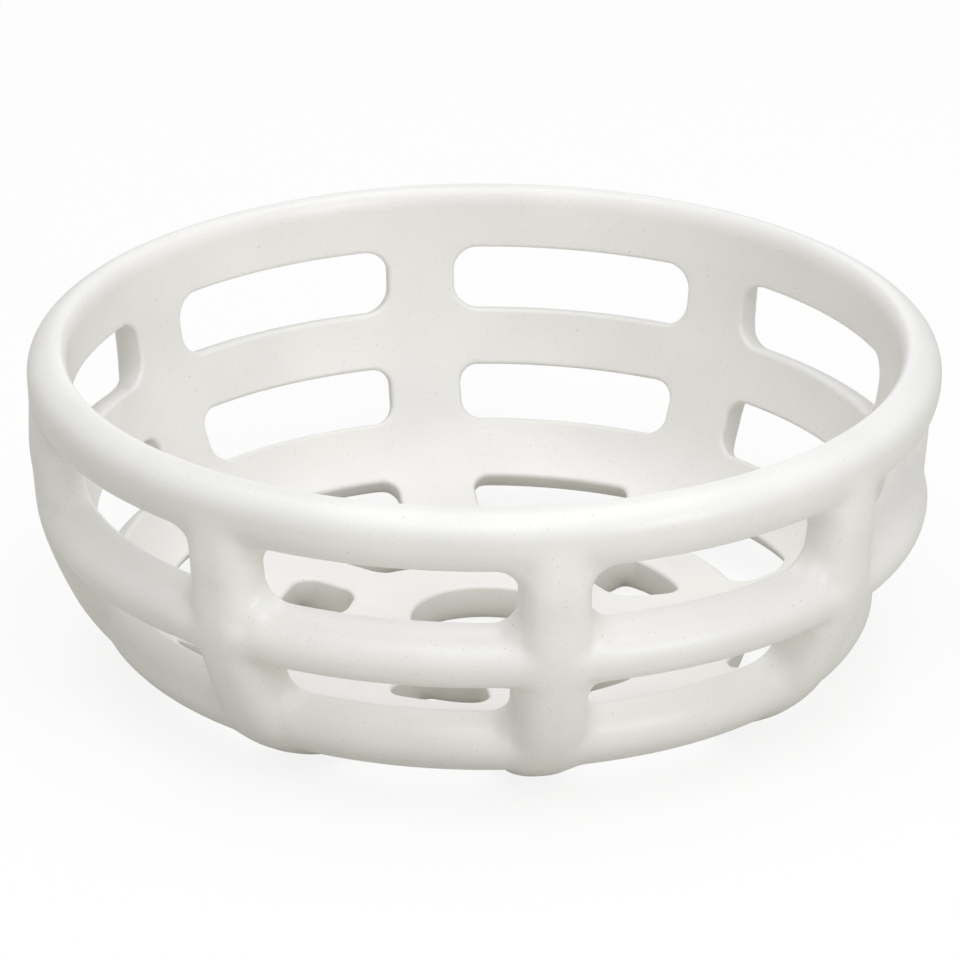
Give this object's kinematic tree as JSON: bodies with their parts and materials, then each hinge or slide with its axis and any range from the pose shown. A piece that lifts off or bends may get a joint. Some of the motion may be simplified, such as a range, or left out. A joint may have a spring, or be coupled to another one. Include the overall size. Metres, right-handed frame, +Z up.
{
  "type": "fruit bowl",
  "caption": "Round openwork stoneware fruit bowl: thick hoops and ribs leave rows of rounded windows in the wall and floor, with a smooth inside and a flat base to stand on.",
  "frame": {"origin": "centre of the base, on the surface that the bowl stands on", "axes": "+Z up along the axis that the hoops go round, -Y out through the front rib of each tier, +X right"},
  "size_m": [0.28, 0.28, 0.1052],
  "materials": {
    "glazed_stoneware": "satin off-white glaze with fine brown specks"
  },
  "bodies": {
    "root": {"rim_hoop": "glazed_stoneware", "middle_hoop": "glazed_stoneware", "lower_hoop": "glazed_stoneware", "floor_hoop": "glazed_stoneware", "centre_ring": "glazed_stoneware", "upper_rib_1": "glazed_stoneware", "upper_rib_2": "glazed_stoneware", "upper_rib_3": "glazed_stoneware", "upper_rib_4": "glazed_stoneware", "upper_rib_5": "glazed_stoneware", "upper_rib_6": "glazed_stoneware", "upper_rib_7": "glazed_stoneware", "upper_rib_8": "glazed_stoneware", "lower_rib_1": "glazed_stoneware", "lower_rib_2": "glazed_stoneware", "lower_rib_3": "glazed_stoneware", "lower_rib_4": "glazed_stoneware", "lower_rib_5": "glazed_stoneware", "lower_rib_6": "glazed_stoneware", "lower_rib_7": "glazed_stoneware", "lower_rib_8": "glazed_stoneware", "turn_rib_1": "glazed_stoneware", "turn_rib_2": "glazed_stoneware", "turn_rib_3": "glazed_stoneware", "turn_rib_4": "glazed_stoneware", "turn_rib_5": "glazed_stoneware", "turn_rib_6": "glazed_stoneware", "turn_rib_7": "glazed_stoneware", "turn_rib_8": "glazed_stoneware", "floor_rib_1": "glazed_stoneware", "floor_rib_2": "glazed_stoneware", "floor_rib_3": "glazed_stoneware", "floor_rib_4": "glazed_stoneware", "floor_rib_5": "glazed_stoneware", "floor_rib_6": "glazed_stoneware", "floor_rib_7": "glazed_stoneware", "floor_rib_8": "glazed_stoneware"}
  },
  "joints": []
}
